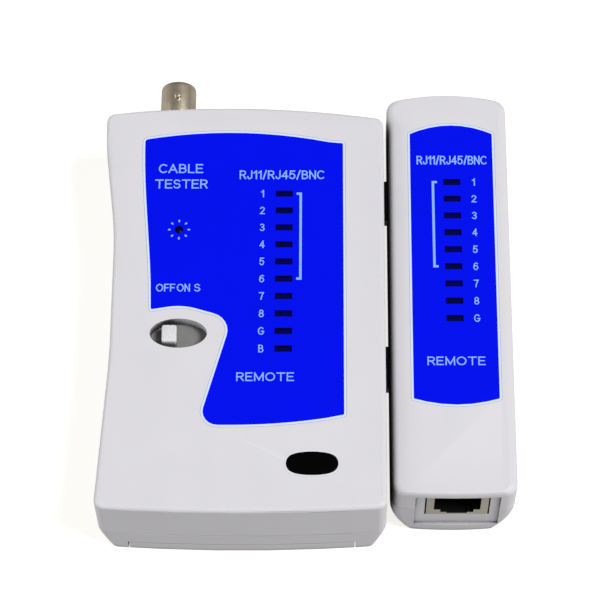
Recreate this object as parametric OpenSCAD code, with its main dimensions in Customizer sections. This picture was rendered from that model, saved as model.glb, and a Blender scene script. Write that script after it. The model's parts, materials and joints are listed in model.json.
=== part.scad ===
// Network cable tester: a main unit and the remote unit that slides on to its right side.
// Millimetres, +Z up, both units lying on their backs, the coaxial jack towards +Y.
// The origin is on the ground under the middle of the two units' common outline.
// Each unit is drawn about its own middle, and on_main() and on_remote() put it in place.

/* [Main unit] */
// Width of the main unit
main_w = 75; // [75:0.5:80]
// Length of the main unit without its coaxial jack
main_l = 118; // [116:1:122]
// Thickness of the main unit
main_t = 28; // [28:0.5:30]
// How far the waist of the left side is drawn in
waist = 3.1; // [1:0.1:3.5]
// How far the back is chamfered in at each side
main_chamfer = 2.5; // [2:0.5:4]
// Height of the joint between front and back shell
main_split = 11; // [10.9:0.1:11.1]

/* [Remote unit] */
// Width of the remote unit
remote_w = 32.5; // [32.5:0.5:36]
// Length of the remote unit
remote_l = 118; // [116:1:122]
// Thickness of the remote unit
remote_t = 25; // [25:0.5:26]
// How far the back is rounded in at each side
remote_taper = 4; // [2:0.5:5]
// Height of the joint between front and back shell
remote_split = 14.7; // [14.5:0.1:14.8]
// How far the remote has been slid up along the main unit
remote_shift = 5.8; // [0:0.1:8]
// Gap between the two units
unit_gap = 1; // [0.8:0.1:1.2]

/* [Shells] */
// Thickness of the shell walls
wall = 2; // [1.8:0.1:2.2]
// Radius of the edge around the main unit's front
main_edge_r = 1.2; // [0.8:0.1:1.6]
// How far the remote unit's front is rounded along its sides
remote_edge_r = 2.6; // [1:0.1:2.6]
// Depth of the shallow pockets for label and badge
pocket = 0.3; // [0.2:0.05:0.4]

/* [Indicators] */
// Distance between neighbouring indicators
led_pitch = 5.08; // [5:0.01:5.2]
// Number of indicators on the main unit
main_led_count = 10; // [9:1:10]
// Number of indicators on the remote unit
remote_led_count = 9; // [8:1:9]
// Length of an indicator lens
led_len = 4.3; // [4:0.1:4.6]
// Width of an indicator lens
led_wid = 1.6; // [1.4:0.1:2]

/* [Switch] */
// Travel of the power switch from OFF over ON to S
knob_travel = 4.8; // [4:0.1:5]
// Depth of the switch recess down to its shutter
recess_depth = 3.9; // [3.4:0.1:4.2]

/* [Jacks] */
// Height of a jack housing above its circuit board
jack_h = 12; // [12:0.1:12.1]
// Depth of a jack housing
jack_d = 16; // [15:0.5:17]
// Radius of the coaxial jack's barrel
bnc_r = 4.85; // [4.8:0.01:4.9]
// Length of the coaxial jack outside the case
bnc_len = 13.6; // [12:0.1:15]

/* [Hidden] */

$fn = 48;
eps = 0.01;
board_t = 1.6;
// Joint line between the shells: how far in and how high. Radius where the back meets the ground.
groove = [0.14, 0.18];
ground_r = 0.5;

// Places of the two units
main_x = -(unit_gap + remote_w) / 2;
main_y = -bnc_len / 2;
remote_x = (unit_gap + main_w) / 2;
remote_y = main_y + remote_shift;

// Main unit: side curve, ends and inside heights
main_side = main_w / 2;
waist_top = [53, 16];
waist_low = [-72, -6];
main_end_r = 135;
main_peak_x = -5;
main_sag = 1.3;
main_corner = 2.4;
chamfer_top = 10.6;
main_board_z = 11;
main_post_top = main_t - wall;

// Main unit: places on the front
led_x = 10.8;
led_top_y = 32.25;
power_led_at = [-17.1, 21.4];
switch_at = [-16.6, -9];
badge_at = [18.4, -45.7];
badge_size = [13.3, 6.35];
badge_t = 0.5;
badge_gap = 0.1;
label_low = -35.7;
label_low_r = 150;
label_top_r = 125;
label_gap = 0.06;
recess_size = [15, 8.4];
recess_wall = 1.5;
shutter_t = 0.8;
switch_gap = 0.3;
shutter_z = main_t - recess_depth - shutter_t;
switch_top = shutter_z - switch_gap;
switch_size = [15, 7];
slider_depth = 4;
knob_size = [3.9, 4.9];
knob_stem = [2.4, 3];
knob_rise = 0.3;
ridge_pitch = 0.75;
ridge_size = [0.34, 0.15];
led_recess = 0.6;
led_body_h = 7;
led_lead = [1.27, 0.5];
power_led_r = 1.45;
power_led_hole = 1.6;
power_led_window = 1.1;

// Main unit: jacks on the top end
bnc_x = -19;
bnc_z = 14;
bnc_inner = 4.1;
bnc_thread = bnc_r - 0.35;
bnc_flange_r = 5.7;
lug_z = 8.9;
lug_h = 1.2;
insulator_r = 2.45;
pin_r = 0.7;
main_rj45_x = 2.5;
main_rj11_x = 22;
main_rj45_port = [18.2, 11.4, 25.8];
main_rj11_port = [15.6, 11.4, 25.8];

// Main unit: battery bay and its door
door_x = 29.7;
door_y = -26;
door_t = 1.8;
door_end_h = 4.5;
door_end_t = 3;
door_gap = 0.3;
tongue_w = 1.5;
tongue_t = 0.7;
tongue_z = 1.2;
battery_size = [46.4, 26.5, 17.5];
battery_at = [-4, -42.4, 2.5];
battery_rib_x = [-20, 8];
bay_wall_y = -27.6;
bay_wall_t = 1.6;
door_grip = [8, -52, 1.6];

// Battery snap: spacing and radii of the terminals, size of the snap, height of its leads
terminal_pitch = 12.7;
terminal_r = [2.8, 3.6];
terminal_h = 2;
snap_size = [12, 25, 2.4];
lead_r = 0.5;
lead_z = 15;

// Fasteners
main_screw_at = [[-27, -21], [27, -21], [-27, 36], [27, 36]];
main_board_screw_at = [[-28, 8], [27, 8]];
remote_screw_at = [[-4.6, -22], [-4.6, 24]];
head_r = 2.6;
head_t = 1.6;
head_sink = 4;
screw_r = 1.25;
pilot_r = 1.3;
post_r = 2.9;
boss_r = 3.8;
case_screw_l = 15;
board_screw_l = 8;

// Rail that holds the remote on the main unit
hook_y = [-15.4, 34];
hook_len = 12;
hook_z = 19;
hook_neck = [2.6, 3];
hook_head = [1.8, 6];
rail_gap = 0.35;
rail_block = 6.6;

// Parts on the main board: places, and body sizes
main_board = [31, -25.6, 39.5];
main_board_tab_x = -6.5;
counter_at = [-8, 12];
timer_at = [-10, 30];
chip_w = 6.4;
pin_pitch = 2.54;
resistor_x = 19.5;
resistor_top_y = 30;
resistor_count = 8;
capacitor_at = [[-2, 22], [-2, -20]];
capacitor_size = [2.5, 8];

// Remote unit
remote_side = remote_w / 2;
remote_axis = 1.1;
remote_led_top_y = 31.6;
remote_taper_top = 12.5;
remote_end_r = 64;
remote_low_r = 220;
remote_corner = 3.2;
remote_end_edge = 0.7;
remote_edge_h = 2;
remote_board_z = 8.2;
remote_port = [21.9, 4, 22.6];
remote_rj11_port = [18.9, 6.5, 22.6];
remote_board_half = 9.4;
remote_resistor_at = [4.6, -20];
remote_resistor_count = 4;
diode_at = [7.3, 28];
diode_count = 8;
port_sink = 1;

// Jack sizes: housing width, opening width, latch step widths, contacts
rj45 = [16, 12, 8.6, 5.3, 8];
rj11 = [13.4, 9.8, 6.4, 4.6, 6];
jack_roof = jack_h - 1.3;
jack_steps = [7.8, 9.5, 10.2];
jack_inner_d = 13;
jack_slot_d = 14.4;
contact_pitch = 1.02;
contact_r = 0.22;

// ---- Helpers ----

function clamp(v) = min(max(v, 0), 1);
function smooth(v) = let (s = clamp(v)) s * s * (3 - 2 * s);
function unit(v) = v / norm(v);
function span(a, b, n) = [for (i = [0 : n]) a + (b - a) * i / n];

// Arc that rounds the corner p between its neighbours a and b
function corner_arc(a, p, b, r, n) =
    let (
        u = unit(a - p),
        v = unit(b - p),
        half = acos(u * v) / 2,
        c = p + unit(u + v) * r / sin(half),
        s = p + u * r / tan(half) - c,
        e = p + v * r / tan(half) - c,
        a0 = atan2(s.y, s.x),
        turn = atan2(s.x * e.y - s.y * e.x, s * e)
    )
    [for (i = [0 : n]) c + r * [cos(a0 + turn * i / n), sin(a0 + turn * i / n)]];

// Outline with rounded corners: each entry is [x, y, radius], and radius 0 keeps the point
function rounded(pts, n = 6) =
    let (m = len(pts), q = [for (p = pts) [p.x, p.y]])
    [for (i = [0 : m - 1]) each
        (pts[i][2] == 0 ? [q[i]] : corner_arc(q[(i + m - 1) % m], q[i], q[(i + 1) % m], pts[i][2], n))];

// Outline moved inwards by d, for points in counter-clockwise order
function inset(pts, d) =
    let (m = len(pts))
    [for (i = [0 : m - 1])
        let (t = unit(pts[(i + 1) % m] - pts[(i + m - 1) % m]))
        pts[i] + d * [-t.y, t.x]];

function oval(size, n = 48) =
    [for (i = [0 : n - 1]) [cos(360 * i / n) * size.x, sin(360 * i / n) * size.y] / 2];

// Closed solid through a stack of rings, each entry [outline, z, factor across].
// Its ends are fanned from the axis.
module loft(rings) {
    m = len(rings[0][0]);
    k = len(rings);
    points = [for (r = rings) each [for (p = r[0]) [p.x * r[2], p.y, r[1]]]];
    sides = [for (j = [0 : k - 2]) each [for (i = [0 : m - 1]) each
        let (a = j * m + i, b = j * m + (i + 1) % m)
        [[a, a + m, b + m], [a, b + m, b]]]];
    low = [for (i = [0 : m - 1]) [i, (i + 1) % m, k * m]];
    top = [for (i = [0 : m - 1]) [(k - 1) * m + (i + 1) % m, (k - 1) * m + i, k * m + 1]];
    polyhedron(concat(points, [[0, 0, rings[0][1]], [0, 0, rings[k - 1][1]]]), concat(low, sides, top));
}

module block(low, high) {
    translate(low) cube(high - low);
}

module plate(outline, z0, z1) {
    translate([0, 0, z0]) linear_extrude(z1 - z0) polygon(outline);
}

module on_main() {
    translate([main_x, main_y, 0]) children();
}

module on_remote() {
    translate([remote_x, remote_y, 0]) children();
}

// ---- Outlines ----

function waist_in(y) = waist * (y > 0
    ? smooth((waist_top[0] - y) / (waist_top[0] - waist_top[1]))
    : smooth((y - waist_low[0]) / (waist_low[1] - waist_low[0])));
function main_top(x) = main_l / 2 - pow(x - main_peak_x, 2) / (4 * main_end_r);
function main_low(x) = -main_l / 2 + main_sag * pow(2 * x / main_w, 2);
low_left = -main_side + waist_in(-main_l / 2);

main_outline = rounded(concat(
    [[low_left, main_low(main_side), main_corner]],
    [for (x = span(-30, 30, 8)) [x, main_low(x), 0]],
    [[main_side, main_low(main_side), main_corner]],
    [[main_side, main_top(main_side), main_corner]],
    [for (x = span(31, -31, 10)) [x, main_top(x), 0]],
    [[-main_side, main_top(-main_side), main_corner]],
    [for (y = span(51, -54, 30)) [-main_side + waist_in(y), y, 0]]
));

function remote_top(x) = remote_l / 2 - pow(x, 2) / (2 * remote_end_r);
function remote_low(x) = -remote_l / 2 + pow(x, 2) / (2 * remote_low_r);
remote_outline = rounded(concat(
    [[-remote_side, remote_low(remote_side), remote_corner]],
    [for (x = span(-10, 10, 4)) [x, remote_low(x), 0]],
    [[remote_side, remote_low(remote_side), remote_corner]],
    [[remote_side, remote_top(remote_side), remote_corner]],
    [for (x = span(11, -11, 8)) [x, remote_top(x), 0]],
    [[-remote_side, remote_top(remote_side), remote_corner]]
));

// Label of the main unit: arched top, waist on the left, and a bay around the switch
main_label_outline = rounded(concat(
    [[-11.9, label_low, 4.5]],
    [for (x = span(-2, 22, 6)) [x, label_low + pow(x + 2, 2) / (2 * label_low_r), 0]],
    [[27.3, label_low + 3, 1]],
    [[27.2, 48.3, 1]],
    [for (x = span(23, -23, 10)) [x, 51.6 - pow(x + 4, 2) / (2 * label_top_r), 0]],
    [[-27.5, 49.4, 1.6]],
    [for (y = span(46, 6, 8)) [-27.5 + 2.9 * smooth((48 - y) / 52), y, 0]],
    [[-24.6, -2.9, 1]],
    [[-15.8, -1.4, 16]],
    [[-3.4, -5.2, 4.5]]
));

remote_label_outline = rounded(concat(
    [[remote_axis - 11.8, -32.6, 0.9]],
    [for (x = span(-8, 8, 4)) [remote_axis + x, -34.5 + pow(x, 2) / 72, 0]],
    [[remote_axis + 11.8, -32.6, 0.9]],
    [[remote_axis + 11.8, 46.9, 0.9]],
    [for (x = span(9, -9, 6)) [remote_axis + x, 49.8 - pow(x, 2) / 48, 0]],
    [[remote_axis - 11.8, 46.9, 0.9]]
));

// ---- Shell solids ----

// Solid front half with a rounded edge, d inside the outer surface. The joint line is a small
// groove around the outside, and the inside solid (d > 0) ends just past the joint.
// The edge is rounded by edge: [at the ends, further at the sides over half the width, height].
module front_solid(outline, split, thick, edge, side, d) {
    r = max(edge[0] - d, 0.1);
    h = max(edge[2] - d, 0.1);
    extra = max(edge[0] + edge[1] - d, 0.1) - r;
    loft(concat(
        [[inset(outline, d == 0 ? groove.x : d), split - (d == 0 ? 0 : eps), 1]],
        [[inset(outline, d), split + groove.y, 1]],
        [for (a = [0 : 15 : 90])
            [inset(outline, d + r * (1 - cos(a))), thick - d - h + h * sin(a), 1 - extra / side * (1 - cos(a))]]
    ));
}

// Solid back half: drawn in across the width below high_z, with a small radius at the ground
module back_solid(outline, side, taper, bend, high_z, split, d) {
    r = d == 0 ? ground_r : 0.1;
    function across(z) = 1 - taper / side * pow(clamp(1 - z / high_z), bend);
    function foot_z(a) = d + r * (1 - cos(a));
    loft(concat(
        [for (a = [0 : 30 : 60]) [inset(outline, d + r * (1 - sin(a + eps))), foot_z(a), across(foot_z(a))]],
        [for (z = span(max(2, d + 0.2), high_z, 5)) [inset(outline, d), z, across(z)]],
        [[inset(outline, d), split - groove.y, 1]],
        [[inset(outline, d == 0 ? groove.x : d), split + (d == 0 ? 0 : eps), 1]]
    ));
}

module main_front_solid(d) {
    front_solid(main_outline, main_split, main_t, [main_edge_r, 0, main_edge_r], main_side, d);
}

module main_back_solid(d) {
    back_solid(main_outline, main_side, main_chamfer, 1.15, chamfer_top, main_split, d);
}

module remote_front_solid(d) {
    edge = [remote_end_edge, remote_edge_r - remote_end_edge, remote_edge_h];
    front_solid(remote_outline, remote_split, remote_t, edge, remote_side, d);
}

module remote_back_solid(d) {
    back_solid(remote_outline, remote_side, remote_taper, 2, remote_taper_top, remote_split, d);
}

// Places children so that y = 0 is the outer end face, +Y pointing out
module top_end(end_y) {
    translate([0, end_y, 0]) children();
}

module low_end(end_y) {
    translate([0, end_y, 0]) mirror([0, 1, 0]) children();
}

// Shallow frame in the end wall, [width, low, high], with an opening for the jack on the board
module jack_port(size, x, board_top, frame) {
    half = size[0] / 2 + 0.4;
    block([x - frame[0] / 2, -port_sink, frame[1]], [x + frame[0] / 2, 2, frame[2]]);
    block([x - half, -4, board_top - 0.3], [x + half, 2, board_top + jack_h + 0.1]);
}

module led_windows(x, y, count, z0, z1) {
    for (i = [0 : count - 1])
        translate([x, y - i * led_pitch, (z0 + z1) / 2])
            cube([led_len + 0.2, led_wid + 0.2, z1 - z0 + 1], center = true);
}

// Posts of the front shell that the screws go into
module screw_posts(places, z0, z1) {
    for (p = places)
        translate([p.x, p.y, z0]) cylinder(h = z1 - z0 + 0.5, r = post_r);
}

module screw_pilots(places, z0, depth) {
    for (p = places)
        translate([p.x, p.y, z0 - 1]) cylinder(h = depth + 1, r = pilot_r);
}

// Self-tapping pan-head screws, heads down
module screws(places, head_z, length) {
    for (p = places)
        translate([p.x, p.y, head_z]) difference() {
            union() {
                cylinder(h = head_t, r = head_r - 0.2);
                cylinder(h = length, r = screw_r);
            }
            for (turn = [0, 90]) rotate([0, 0, turn]) cube([3, 0.6, head_t], center = true);
        }
}

// Counterbores and clearance holes in the back shells
module screw_bores(places, height) {
    for (p = places) translate([p.x, p.y, -1]) {
        cylinder(h = head_sink + 1, r = head_r + 0.2);
        cylinder(h = height + 3, r = screw_r + 0.25);
    }
}

// ---- Jacks ----

// Housing of a modular jack: stepped opening, with a slot behind it for the contacts
module jack_housing(size) {
    slot = contact_pitch * size[4] / 2 + 0.3;
    difference() {
        block([-size[0] / 2, -jack_d, 0], [size[0] / 2, 0, jack_h]);
        for (i = [0 : 2])
            block([-size[i + 1] / 2, -jack_inner_d, jack_roof - jack_steps[i]],
                [size[i + 1] / 2, 1, jack_roof]);
        block([-slot, -jack_slot_d, -1], [slot, 0.1 - jack_inner_d, jack_roof]);
    }
}

// Spring contacts: along the roof, sloping back into the opening, and down to the board
module jack_contacts(size) {
    back = -(jack_inner_d + jack_slot_d) / 2;
    high = jack_roof - 0.5;
    path = [[back, contact_r], [back, high], [-3.2, high], [-10.8, jack_roof - 3.6]];
    for (i = [0 : size[4] - 1])
        translate([(i - (size[4] - 1) / 2) * contact_pitch, 0, 0])
            for (k = [0 : 2])
                wire([0, path[k].x, path[k].y], [0, path[k + 1].x, path[k + 1].y], contact_r);
}

// Straight round wire with ball ends
module wire(a, b, r) {
    d = b - a;
    translate(a) rotate([0, acos(d.z / norm(d)), atan2(d.y, d.x)]) cylinder(h = norm(d), r = r, $fn = 16);
    translate(b) sphere(r = r, $fn = 16);
}

// ---- Main unit ----

module main_front_shell() {
    board_top = main_board_z + board_t;
    collar_z = main_t - recess_depth + switch_gap;
    color("whitesmoke") on_main() difference() {
        union() {
            difference() {
                main_front_solid(0);
                main_front_solid(wall);
            }
            screw_posts(main_screw_at, board_top, main_post_top);
            screw_posts(main_board_screw_at, board_top, main_post_top);
            at_switch()
                plate(oval(recess_size + 2 * [recess_wall, recess_wall]), collar_z, main_t - wall / 2);
            battery_ribs();
            for (y = hook_y) translate([main_side, y, hook_z]) rail_hook();
        }
        screw_pilots(main_screw_at, board_top, 8);
        screw_pilots(main_board_screw_at, board_top, 7);
        plate(main_label_outline, main_t - pocket, main_t + 1);
        led_windows(led_x, led_top_y, main_led_count, main_post_top, main_t);
        translate([power_led_at.x, power_led_at.y, main_post_top - 1]) cylinder(h = 4, r = power_led_hole);
        at_switch() plate(oval(recess_size), collar_z - 1, main_t + 1);
        at_badge() plate(oval(badge_size + 2 * [badge_gap, badge_gap]), main_t - badge_t, main_t + 1);
        main_ports();
    }
}

module at_switch() {
    translate([switch_at.x, switch_at.y, 0]) children();
}

module at_badge() {
    translate([badge_at.x, badge_at.y, 0]) children();
}

// Ribs under the front that hold the battery down
module battery_ribs() {
    length = 25;
    for (x = battery_rib_x)
        block([x, battery_at.y - length / 2, battery_at.z + battery_size.z + 0.2],
            [x + 1.5, battery_at.y + length / 2, main_post_top + 0.5]);
}

// T-shaped hook on the right side: neck out of the wall, with an upright head
module rail_hook() {
    block([-0.5, -hook_len / 2, -hook_neck.y / 2], [hook_neck.x, hook_len / 2, hook_neck.y / 2]);
    block([hook_neck.x - eps, -hook_len / 2, -hook_head.y / 2],
        [hook_neck.x + hook_head.x, hook_len / 2, hook_head.y / 2]);
}

// Openings in the main unit's top end
module main_ports() {
    board_top = main_board_z + board_t;
    top_end(main_top(bnc_x)) translate([bnc_x, -8, bnc_z])
        rotate([-90, 0, 0]) cylinder(h = 10, r = bnc_thread + 0.1);
    top_end(main_top(main_rj45_x)) jack_port(rj45, main_rj45_x, board_top, main_rj45_port);
    top_end(main_top(main_rj11_x)) jack_port(rj11, main_rj11_x, board_top, main_rj11_port);
}

module main_back_shell() {
    color("gainsboro") on_main() difference() {
        union() {
            difference() {
                main_back_solid(0);
                main_back_solid(wall);
            }
            intersection() {
                main_back_solid(0);
                main_back_ribs();
            }
        }
        screw_bores(main_screw_at, main_board_z);
        door_cutout();
        main_ports();
    }
}

// Bosses for the screws, and the walls of the battery bay
module main_back_ribs() {
    runner = [3.8, 9];
    for (p = main_screw_at)
        translate([p.x, p.y, 0]) cylinder(h = main_board_z, r = boss_r);
    for (side = [-1, 1]) translate([side * (door_x + 2.2), 0, 0])
        block([-runner.x / 2, -main_l / 2, wall + 0.4], [runner.x / 2, bay_wall_y, runner.y]);
    block([-door_x - 4, bay_wall_y, 1], [door_x + 4, bay_wall_y + bay_wall_t, main_board_z - 0.3]);
}

// Opening of the battery bay: through the back, up the low end, and the grooves for the tongues
module door_cutout() {
    back_z = wall + 0.4;
    block([-door_x, -main_l / 2 - 1, -1],
        [door_x, -main_l / 2 + door_end_t + door_gap, door_end_h + door_gap]);
    block([tongue_w - door_x, -main_l / 2, -1], [door_x - tongue_w, door_y, back_z]);
    block([-door_x, -main_l / 2, tongue_z - door_gap], [door_x, bay_wall_y + door_gap, back_z]);
}

// Door of the battery bay: plate with tongues at both sides and an end that turns up
module battery_cover() {
    x = door_x - door_gap;
    low = -main_l / 2;
    color("lightgray") on_main() difference() {
        intersection() {
            main_back_solid(0);
            union() {
                block([tongue_w - x, low, 0], [x - tongue_w, door_y - door_gap, door_t]);
                block([-x, low, 0], [x, low + door_end_t, door_end_h]);
                block([-x, low + 1, tongue_z], [x, bay_wall_y - door_gap, tongue_z + tongue_t]);
            }
        }
        for (i = [0 : 4]) translate([0, door_grip.y + i * door_grip.z, 0])
            cube([2 * (door_grip.x - i), door_grip.z / 2, 0.8], center = true);
    }
}

module main_label() {
    color("mediumblue") on_main() difference() {
        plate(inset(main_label_outline, label_gap), main_t - pocket, main_t);
        led_windows(led_x, led_top_y, main_led_count, main_post_top, main_t);
        translate([power_led_at.x, power_led_at.y, main_post_top]) cylinder(h = 4, r = power_led_window);
    }
}

module blank_badge() {
    color("black") on_main() at_badge() plate(oval(badge_size), main_t - badge_t, main_t);
}

module main_pcb() {
    z = main_board_z;
    color("darkgreen") on_main() difference() {
        union() {
            block([-main_board.x, main_board.y, z], [main_board.x, main_board.z, z + board_t]);
            block([main_board_tab_x, main_board.z - 0.5, z],
                [main_board.x, main_top(main_rj11_x) - 3.5, z + board_t]);
        }
        board_holes(concat(main_screw_at, main_board_screw_at), z);
    }
}

module board_holes(places, z) {
    for (p = places)
        translate([p.x, p.y, z - 1]) cylinder(h = board_t + 2, r = 1.6);
}

// Rectangular indicators standing on their two leads
module led_row(x, y, count, board_top, lens_top) {
    for (i = [0 : count - 1]) translate([x, y - i * led_pitch, 0]) {
        block([-led_len / 2, -led_wid / 2, lens_top - led_body_h], [led_len / 2, led_wid / 2, lens_top]);
        led_leads(board_top, lens_top - led_body_h + 0.1);
    }
}

module led_leads(z0, z1) {
    for (side = [-1, 1]) translate([side * led_lead.x, 0, (z0 + z1) / 2])
        cube([led_lead.y, led_lead.y, z1 - z0], center = true);
}

module main_leds() {
    color("darkred") on_main()
        led_row(led_x, led_top_y, main_led_count, main_board_z + board_t, main_t - led_recess);
}

// Round indicator with a flange and a domed top
module power_led() {
    base_z = main_t - 6;
    dome_z = main_t - power_led_r - 0.25;
    color("darkgreen") on_main() translate([power_led_at.x, power_led_at.y, 0]) {
        translate([0, 0, base_z]) cylinder(h = 1, r = power_led_r + 0.45);
        translate([0, 0, base_z]) cylinder(h = dome_z - base_z, r = power_led_r);
        translate([0, 0, dome_z]) sphere(r = power_led_r, $fn = 32);
        led_leads(main_board_z + board_t, base_z + 0.1);
    }
}

// Slide switch on the board, with room for its slider
module power_switch_body() {
    slot = knob_stem + [knob_travel, 0] + 2 * [switch_gap, switch_gap];
    color("silver") on_main() at_switch() difference() {
        block([-switch_size.x / 2, -switch_size.y / 2, main_board_z + board_t],
            [switch_size.x / 2, switch_size.y / 2, switch_top]);
        block([-slot.x / 2, -slot.y / 2, switch_top - slider_depth],
            [slot.x / 2, slot.y / 2, switch_top + 1]);
    }
}

// Places the moving pieces of the switch at OFF
module at_knob() {
    at_switch() translate([-knob_travel / 2, 0, 0]) children();
}

// Knob: stem in the switch, and a ribbed cap on the shutter
module power_switch_knob() {
    top = main_t + knob_rise;
    color("white") on_main() at_knob() {
        block([-knob_stem.x / 2, -knob_stem.y / 2, switch_top - slider_depth + 0.5],
            [knob_stem.x / 2, knob_stem.y / 2, shutter_z + shutter_t + eps]);
        difference() {
            block([-knob_size.x / 2, -knob_size.y / 2, shutter_z + shutter_t],
                [knob_size.x / 2, knob_size.y / 2, top]);
            for (i = [-2 : 2]) translate([i * ridge_pitch, 0, top])
                cube([ridge_size.x, 2 * knob_size.y, 2 * ridge_size.y], center = true);
        }
    }
}

// Plate that moves with the knob and closes the recess at every position
module switch_shutter() {
    half = [recess_size.x / 2 + knob_travel / 2 + switch_gap, recess_size.y / 2 + switch_gap];
    hole = knob_stem / 2 + [0.05, 0.05];
    color("gray") on_main() at_knob() difference() {
        block([-half.x, -half.y, shutter_z], [half.x, half.y, shutter_z + shutter_t]);
        block([-hole.x, -hole.y, shutter_z - 1], [hole.x, hole.y, shutter_z + shutter_t + 1]);
    }
}

module main_jack(x) {
    on_main() top_end(main_top(x) - port_sink + 0.1) translate([x, 0, main_board_z + board_t]) children();
}

module main_rj45_housing() {
    color("burlywood") main_jack(main_rj45_x) jack_housing(rj45);
}

module main_rj45_contacts() {
    color("gold") main_jack(main_rj45_x) jack_contacts(rj45);
}

module main_rj11_housing() {
    color("burlywood") main_jack(main_rj11_x) jack_housing(rj11);
}

module main_rj11_contacts() {
    color("gold") main_jack(main_rj11_x) jack_contacts(rj11);
}

// Places the coaxial jack: z = 0 is the outside of the end wall, +Z points out
module at_bnc() {
    on_main() translate([bnc_x, main_l / 2, bnc_z]) rotate([-90, 0, 0]) children();
}

module bnc_shell() {
    groove_z = 3.4;
    color("silver") at_bnc() difference() {
        union() {
            cylinder(h = 1.6, r = bnc_flange_r);
            cylinder(h = bnc_len, r = bnc_r);
            translate([0, 0, -8]) cylinder(h = 8.5, r = bnc_thread);
            translate([0, 0, lug_z]) rotate([90, 0, 0])
                cylinder(h = 2 * (bnc_r + lug_h), r = 1, center = true);
        }
        translate([0, 0, 1]) cylinder(h = bnc_len, r = bnc_inner);
        translate([0, 0, -9]) cylinder(h = 12, r = insulator_r + 0.05);
        translate([0, 0, groove_z]) rotate_extrude() translate([bnc_r - 0.35, 0]) square([1, 1.2]);
    }
}

module bnc_insulator() {
    color("ivory") at_bnc() difference() {
        translate([0, 0, -9]) cylinder(h = 18.5, r = insulator_r);
        translate([0, 0, -10]) cylinder(h = 20, r = pin_r + 0.05);
    }
}

module bnc_center_contact() {
    color("gold") at_bnc() difference() {
        translate([0, 0, -12]) cylinder(h = 21, r = pin_r);
        translate([0, 0, 5]) cylinder(h = 5, r = 0.45);
    }
}

// Ring around the thread, behind the end wall: z and height, then the gap to the thread
module bnc_ring(z, h, gap) {
    at_bnc() translate([0, 0, z]) difference() {
        children();
        translate([0, 0, -1]) cylinder(h = h + 2, r = bnc_thread + gap);
    }
}

module bnc_washer() {
    color("silver") bnc_ring(-3.4, 0.5, 0.05) cylinder(h = 0.5, r = 6.4);
}

module bnc_nut() {
    color("silver") bnc_ring(-6, 2.5, 0.03) cylinder(h = 2.5, r = 7.2, $fn = 6);
}

module battery_9v() {
    low = battery_at - [battery_size.x / 2, battery_size.y / 2, 0];
    color("dimgray") on_main() block(low, low + battery_size);
}

// Snap terminals at the battery's right end
module at_terminals() {
    on_main() translate([battery_at.x + battery_size.x / 2, battery_at.y, battery_at.z + battery_size.z / 2])
        rotate([0, 90, 0]) children();
}

module battery_terminals() {
    color("silver") at_terminals() {
        translate([0, -terminal_pitch / 2, 0]) cylinder(h = terminal_h, r = terminal_r[0]);
        translate([0, terminal_pitch / 2, 0]) cylinder(h = terminal_h, r = terminal_r[1], $fn = 6);
    }
}

module battery_snap() {
    color("black") at_terminals() translate([-snap_size.x / 2, -snap_size.y / 2, terminal_h]) cube(snap_size);
}

// Two leads from the snap over the bay wall and down to the board
module battery_leads() {
    x = battery_at.x + battery_size.x / 2 + terminal_h + snap_size.z / 2;
    end_y = -22.4;
    color("red") on_main() for (side = [-0.6, 0.6]) translate([x + side, 0, 0]) {
        wire([0, battery_at.y + snap_size.y / 2, lead_z], [0, end_y, lead_z], lead_r);
        wire([0, end_y, main_board_z + board_t + lead_r], [0, end_y, lead_z], lead_r);
    }
}

// Chip in a moulded body with two rows of legs
module chip(pins, at) {
    length = pins / 2 * pin_pitch;
    leg = [0.6, 0.9, 2.4];
    translate([at.x, at.y, main_board_z + board_t]) {
        block([-length / 2, -chip_w / 2, 0.6], [length / 2, chip_w / 2, 3.8]);
        for (i = [0 : pins / 2 - 1])
            for (side = [-1, 1])
                translate([(i - (pins / 2 - 1) / 2) * pin_pitch, side * (chip_w / 2 + 0.3), leg.z / 2])
                    cube(leg, center = true);
    }
}

module main_counter_chip() {
    color("black") on_main() chip(16, counter_at);
}

module main_timer_chip() {
    color("black") on_main() chip(8, timer_at);
}

// Axial part of length 6 and radius 1.1, lying 1.3 above the board on its two leads
module axial() {
    lead_x = 4.5;
    translate([0, 0, 1.3]) {
        translate([-3, 0, 0]) rotate([0, 90, 0]) cylinder(h = 6, r = 1.1);
        for (side = [-1, 1]) {
            wire([side * 2.9, 0, 0], [side * lead_x, 0, 0], 0.3);
            wire([side * lead_x, 0, 0], [side * lead_x, 0, -1], 0.28);
        }
    }
}

module main_resistors() {
    color("tan") on_main() for (i = [0 : resistor_count - 1])
        translate([resistor_x, resistor_top_y - i * led_pitch, main_board_z + board_t]) axial();
}

module main_capacitors() {
    color("navy") on_main() for (p = capacitor_at)
        translate([p.x, p.y, main_board_z + board_t]) cylinder(h = capacitor_size[1], r = capacitor_size[0]);
}

module main_case_screws() {
    color("silver") on_main() screws(main_screw_at, head_sink - head_t - 0.1, case_screw_l);
}

module main_pcb_screws() {
    color("silver") on_main() screws(main_board_screw_at, main_board_z - head_t - 0.05, board_screw_l);
}

// ---- Remote unit ----

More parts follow.
